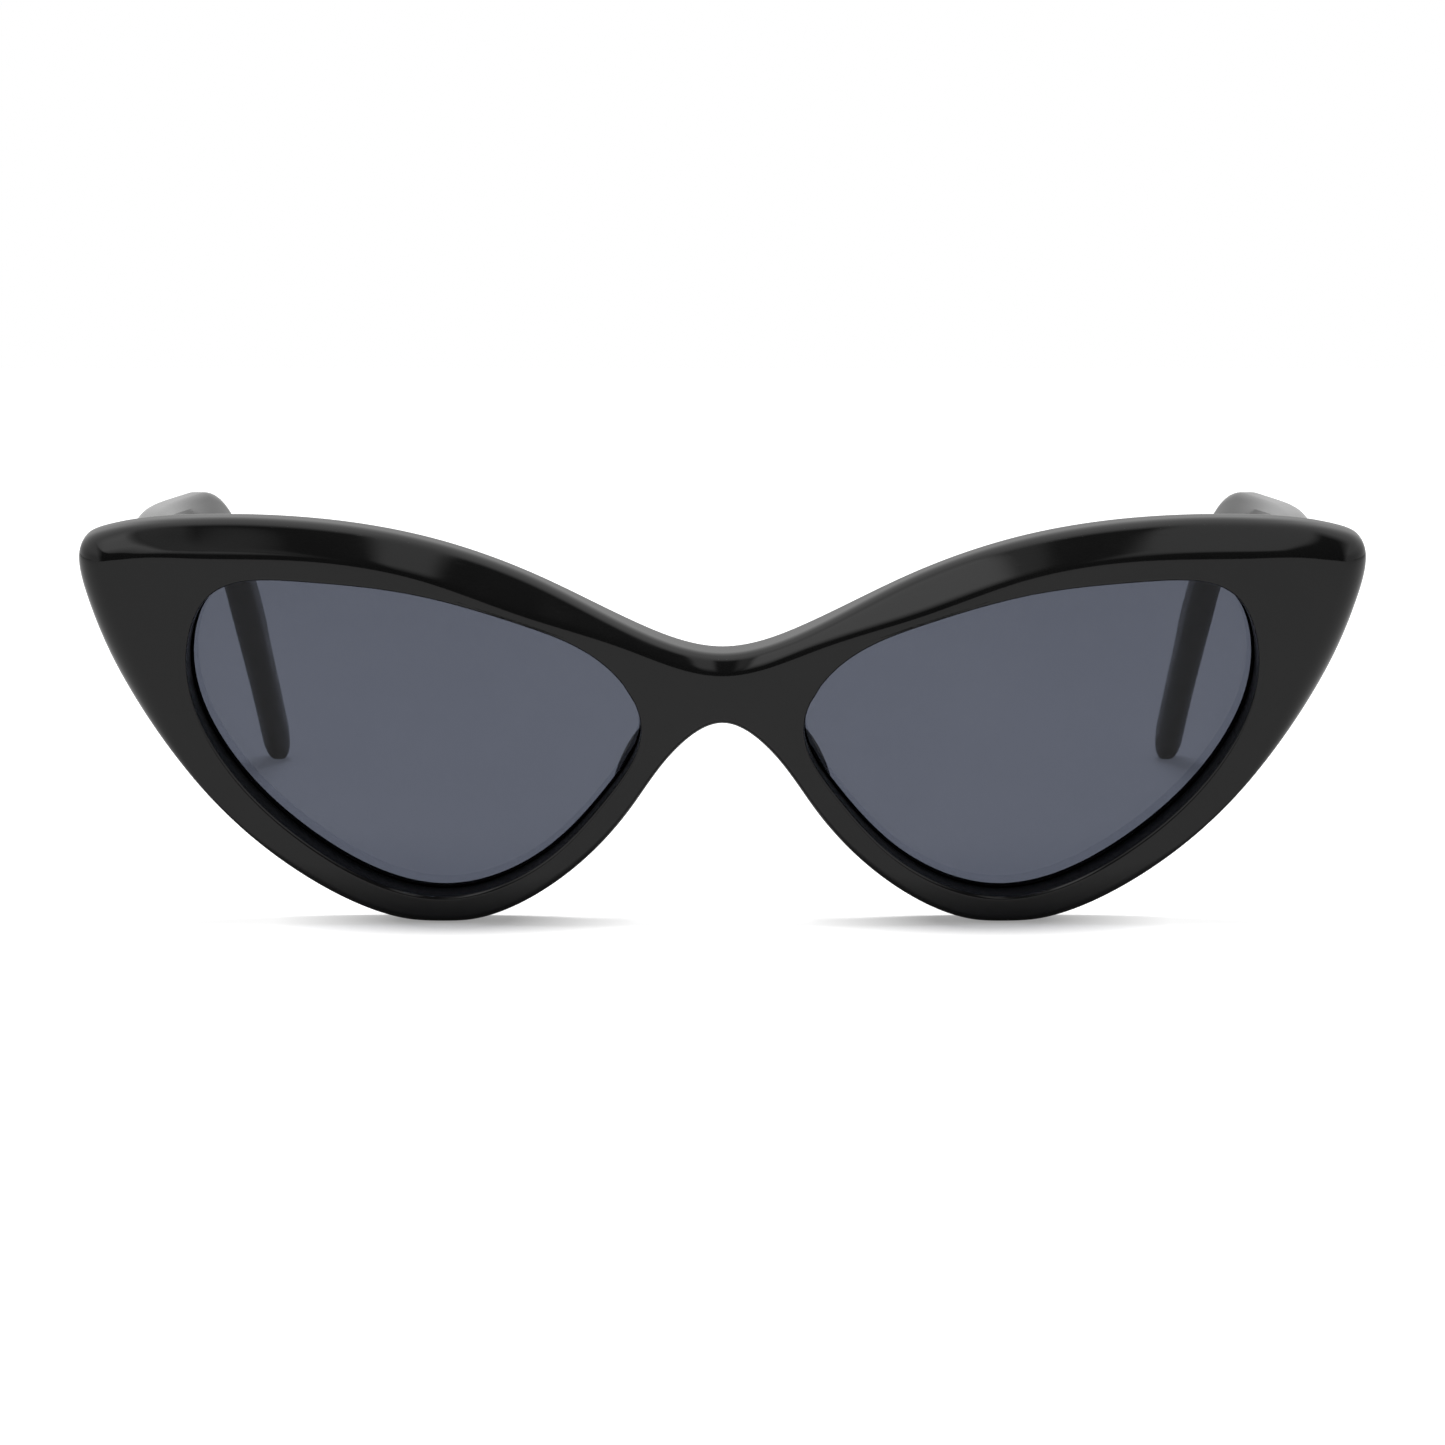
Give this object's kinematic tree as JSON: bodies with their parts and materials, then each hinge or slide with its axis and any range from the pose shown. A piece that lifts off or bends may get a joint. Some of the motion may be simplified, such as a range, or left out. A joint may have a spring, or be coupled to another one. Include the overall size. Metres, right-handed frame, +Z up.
{
  "type": "cat eye sunglasses",
  "caption": "Black cat eye sunglasses with a bevelled upswept front, grey lenses set in grooved rims, nose pads, and temples that fold on screwed knuckle hinges.",
  "frame": {"origin": "on the surface the glasses stand on, under the middle of their bounding box", "axes": "+X to the wearer's left, +Y from the front back to the temple tips, +Z up; the front faces -Y"},
  "size_m": [0.1394, 0.1448, 0.0448],
  "materials": {
    "acetate": "polished black acetate",
    "pad": "tumbled black acetate",
    "lens": "clear grey tint, polished",
    "metal": "satin nickel silver"
  },
  "bodies": {
    "front_assembly": {"front": "acetate", "lens_left": "lens", "nose_pad_left": "pad", "front_leaf_left": "metal", "front_leaf_screw_left_upper": "metal", "front_leaf_screw_left_lower": "metal", "hinge_screw_left": "metal", "lens_right": "lens", "nose_pad_right": "pad", "front_leaf_right": "metal", "front_leaf_screw_right_upper": "metal", "front_leaf_screw_right_lower": "metal", "hinge_screw_right": "metal"},
    "left_temple": {"temple_left": "acetate", "core_wire_left": "metal", "temple_leaf_left": "metal", "temple_leaf_screw_left_front": "metal", "temple_leaf_screw_left_rear": "metal"},
    "right_temple": {"temple_right": "acetate", "core_wire_right": "metal", "temple_leaf_right": "metal", "temple_leaf_screw_right_front": "metal", "temple_leaf_screw_right_rear": "metal"}
  },
  "joints": [
    {"name": "left_temple_fold", "type": "hinge", "parent": "front_assembly", "child": "left_temple", "pos_m": [0.0622, -0.062, 0.03555], "axis": [0, 0, 1], "range_deg": [0, 88]},
    {"name": "right_temple_fold", "type": "hinge", "parent": "front_assembly", "child": "right_temple", "pos_m": [-0.0622, -0.062, 0.03555], "axis": [0, 0, -1], "range_deg": [0, 70]}
  ]
}
